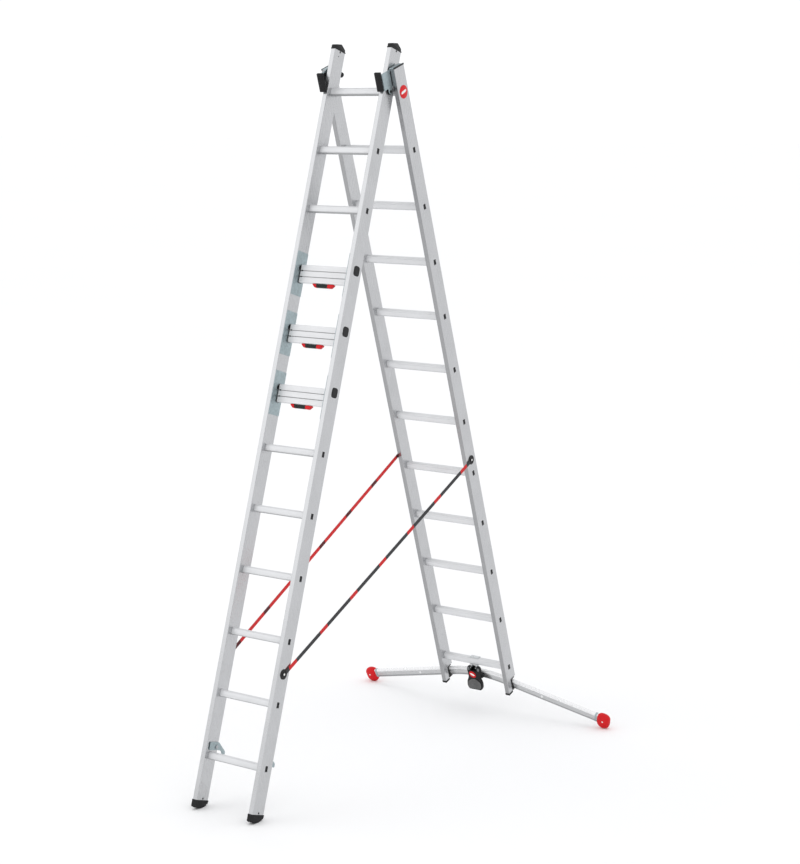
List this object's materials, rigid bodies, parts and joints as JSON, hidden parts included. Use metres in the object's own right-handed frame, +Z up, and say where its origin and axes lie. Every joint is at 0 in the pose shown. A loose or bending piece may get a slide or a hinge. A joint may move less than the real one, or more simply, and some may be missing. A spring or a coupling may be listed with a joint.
{
  "type": "extension ladder",
  "caption": "Two-section aluminium extension ladder standing as an A-frame, with folding treads, spreader straps and a curved levelling crossbar.",
  "frame": {"origin": "on the floor, at the middle of the footprint", "axes": "+Z up, +X to the ladder's right as a climber faces the front section from -Y, the front section leans from -Y and the rear section from +Y"},
  "size_m": [1.5224, 2.2075, 3.3884],
  "materials": {
    "stile_aluminium": "extruded mill finish",
    "rung_aluminium": "extruded, fine grooves",
    "black_plastic": "moulded, fine texture",
    "red_plastic": "smooth",
    "galvanised_steel": "zinc plated",
    "dark_rivet": "pressed",
    "eyelet_plastic": "moulded",
    "strap_webbing": "woven red and black",
    "black_rubber": "moulded",
    "dark_fastener": "black",
    "crossbar_aluminium": "extruded, bent",
    "collar_plastic": "moulded",
    "red_rubber": "moulded",
    "bolt_steel": "zinc plated",
    "pedal_plastic": "moulded",
    "pedal_pad_rubber": "moulded, ribbed",
    "tread_aluminium": "extruded, ribbed",
    "grip_plastic": "moulded, ribbed"
  },
  "bodies": {
    "rear_section": {"rear_stile_left": "stile_aluminium", "rear_stile_right": "stile_aluminium", "rear_rung_01": "rung_aluminium", "rear_rung_02": "rung_aluminium", "rear_rung_03": "rung_aluminium", "rear_rung_04": "rung_aluminium", "rear_rung_05": "rung_aluminium", "rear_rung_06": "rung_aluminium", "rear_rung_07": "rung_aluminium", "rear_rung_08": "rung_aluminium", "rear_rung_09": "rung_aluminium", "rear_rung_10": "rung_aluminium", "rear_rung_11": "rung_aluminium", "rear_rung_12": "rung_aluminium", "rear_end_plugs": "black_plastic", "rear_marker_discs": "red_plastic", "top_bracket_left": "galvanised_steel", "top_bracket_right": "galvanised_steel", "bracket_pads": "black_plastic", "rear_rivets": "dark_rivet", "crossbar_guide_liners": "black_plastic", "pedal_bracket": "galvanised_steel", "strap_eyelets_rear": "eyelet_plastic", "strap_left": "strap_webbing", "strap_right": "strap_webbing"},
    "hinge_carriage": {"hinge_guide_shoes": "black_plastic"},
    "front_section": {"front_stile_left": "stile_aluminium", "front_stile_right": "stile_aluminium", "front_rung_01": "rung_aluminium", "front_rung_02": "rung_aluminium", "front_rung_03": "rung_aluminium", "front_rung_07": "rung_aluminium", "front_rung_08": "rung_aluminium", "front_rung_09": "rung_aluminium", "front_rung_10": "rung_aluminium", "front_rung_11": "rung_aluminium", "front_rung_12": "rung_aluminium", "front_end_plugs": "black_plastic", "front_top_caps": "black_plastic", "front_feet": "black_rubber", "front_fasteners": "dark_fastener", "tread_side_plates": "galvanised_steel", "strap_eyelets_front": "eyelet_plastic"},
    "crossbar": {"crossbar_tube": "crossbar_aluminium", "crossbar_collars": "collar_plastic", "crossbar_feet": "red_rubber", "crossbar_stop_bolts": "bolt_steel"},
    "lock_pedal": {"pedal_lever": "pedal_plastic", "pedal_pad": "pedal_pad_rubber"},
    "hook_left": {"rung_hook_left": "galvanised_steel"},
    "hook_right": {"rung_hook_right": "galvanised_steel"},
    "tread_upper": {"tread_board_upper": "tread_aluminium", "tread_end_caps_upper": "black_plastic"},
    "grip_upper": {"tread_grip_upper": "grip_plastic"},
    "tread_middle": {"tread_board_middle": "tread_aluminium", "tread_end_caps_middle": "black_plastic"},
    "grip_middle": {"tread_grip_middle": "grip_plastic"},
    "tread_lower": {"tread_board_lower": "tread_aluminium", "tread_end_caps_lower": "black_plastic"},
    "grip_lower": {"tread_grip_lower": "grip_plastic"}
  },
  "joints": [
    {"name": "spread", "type": "hinge", "parent": "rear_section", "child": "hinge_carriage", "pos_m": [0, -0.0797, 3.168], "axis": [1, 0, 0], "range_deg": [0, 36], "deforming": ["strap_left", "strap_right"]},
    {"name": "extend", "type": "slide", "parent": "hinge_carriage", "child": "front_section", "axis": [0, 0.2957, 0.9553], "range_m": [0, 2.24]},
    {"name": "crossbar_level", "type": "hinge", "parent": "rear_section", "child": "crossbar", "pos_m": [0, 1.30257, -0.64921], "axis": [0, 0.9466, 0.3223], "range_deg": [-4.3, 4.3]},
    {"name": "pedal_press", "type": "hinge", "parent": "rear_section", "child": "lock_pedal", "pos_m": [0, 0.97131, 0.21526], "axis": [1, 0, 0], "range_deg": [-20, 0], "stiffness_Nm_per_rad": 1.5, "springref_deg": 17.19},
    {"name": "tread_upper_fold", "type": "hinge", "parent": "front_section", "child": "tread_upper", "pos_m": [0, -0.3281, 2.36557], "axis": [1, 0, 0], "range_deg": [-72.8, 0]},
    {"name": "grip_upper_squeeze", "type": "hinge", "parent": "tread_upper", "child": "grip_upper", "pos_m": [0, -0.34659, 2.29906], "axis": [1, 0, 0], "range_deg": [-12, 0], "stiffness_Nm_per_rad": 0.4, "springref_deg": 17.19},
    {"name": "tread_middle_fold", "type": "hinge", "parent": "front_section", "child": "tread_middle", "pos_m": [0, -0.41089, 2.09809], "axis": [1, 0, 0], "range_deg": [-72.8, 0]},
    {"name": "grip_middle_squeeze", "type": "hinge", "parent": "tread_middle", "child": "grip_middle", "pos_m": [0, -0.42939, 2.03158], "axis": [1, 0, 0], "range_deg": [-12, 0], "stiffness_Nm_per_rad": 0.4, "springref_deg": 17.19},
    {"name": "tread_lower_fold", "type": "hinge", "parent": "front_section", "child": "tread_lower", "pos_m": [0, -0.49369, 1.83061], "axis": [1, 0, 0], "range_deg": [-72.8, 0]},
    {"name": "grip_lower_squeeze", "type": "hinge", "parent": "tread_lower", "child": "grip_lower", "pos_m": [0, -0.51219, 1.76411], "axis": [1, 0, 0], "range_deg": [-12, 0], "stiffness_Nm_per_rad": 0.4, "springref_deg": 17.19},
    {"name": "hook_left_ratchet", "type": "hinge", "parent": "front_section", "child": "hook_left", "pos_m": [-0.142, -0.95764, 0.25745], "axis": [1, 0, 0], "range_deg": [-58, 0], "stiffness_Nm_per_rad": 0.15, "springref_deg": 34.38},
    {"name": "hook_right_ratchet", "type": "hinge", "parent": "front_section", "child": "hook_right", "pos_m": [0.142, -0.95764, 0.25745], "axis": [1, 0, 0], "range_deg": [-58, 0], "stiffness_Nm_per_rad": 0.15, "springref_deg": 34.38}
  ]
}
